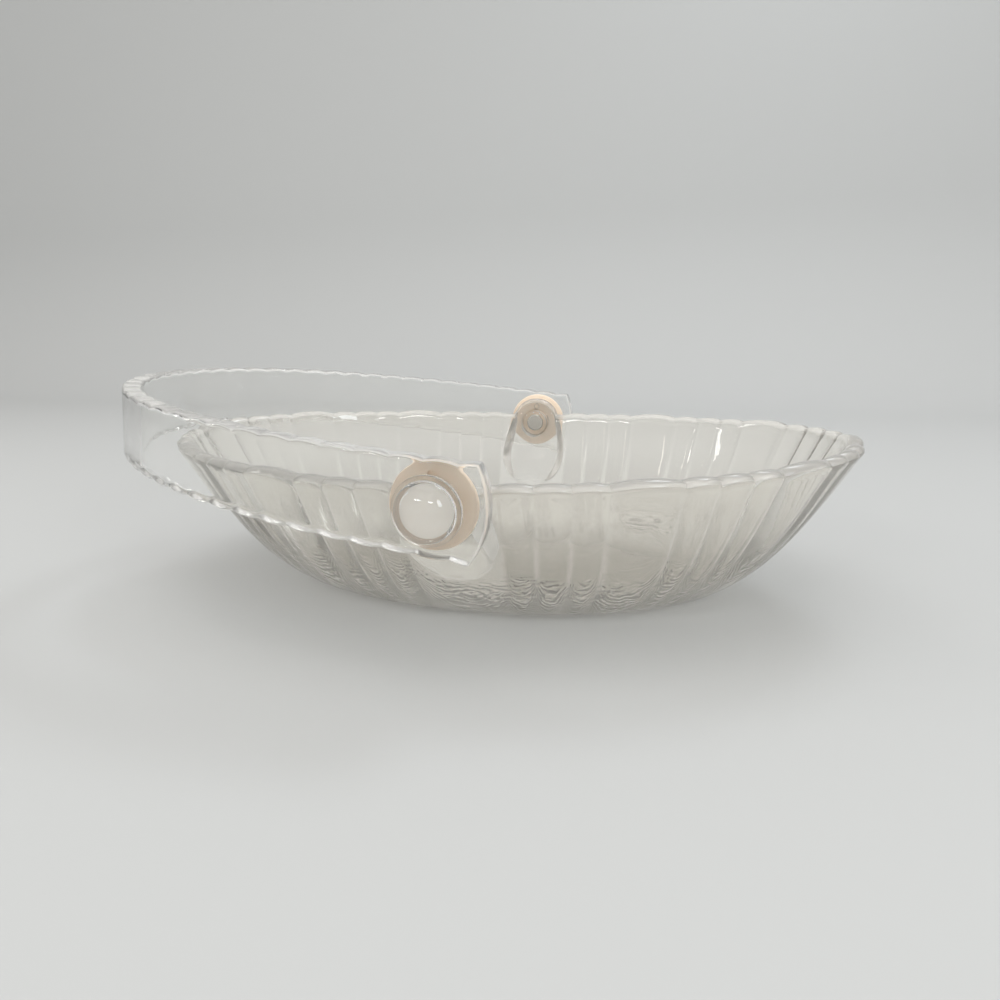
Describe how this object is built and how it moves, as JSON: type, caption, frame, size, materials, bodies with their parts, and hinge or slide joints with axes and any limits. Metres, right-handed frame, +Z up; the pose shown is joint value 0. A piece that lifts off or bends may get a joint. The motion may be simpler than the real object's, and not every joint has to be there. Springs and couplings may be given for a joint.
{
  "type": "glass basket",
  "caption": "Oval pressed-glass bowl with lobed sides, a scalloped boat-shaped rim and two lugs, carried by a clear acrylic arch handle that swings on domed studs.",
  "frame": {"origin": "centre of the bowl's flat underside", "axes": "+X along the bowl's length, away from the side the handle lies on; +Y from the front lug to the rear lug; +Z up"},
  "size_m": [0.3189, 0.2324, 0.0949],
  "materials": {
    "clear_glass": "fire-polished pressed glass, nearly colourless",
    "clear_acrylic": "clear polished acrylic",
    "amber_vinyl": "translucent soft vinyl, pink-amber"
  },
  "bodies": {
    "bowl": {"glass_bowl": "clear_glass", "pivot_knob_front": "clear_acrylic", "pivot_knob_rear": "clear_acrylic", "outer_washer_front": "amber_vinyl", "outer_washer_rear": "amber_vinyl", "inner_washer_front": "amber_vinyl", "inner_washer_rear": "amber_vinyl", "cap_nut_front": "clear_acrylic", "cap_nut_rear": "clear_acrylic"},
    "handle": {"swing_handle": "clear_acrylic"}
  },
  "joints": [
    {"name": "handle_swing", "type": "hinge", "parent": "bowl", "child": "handle", "pos_m": [0, 0, 0.0605], "axis": [0, 1, 0], "range_deg": [-22, 188]}
  ]
}
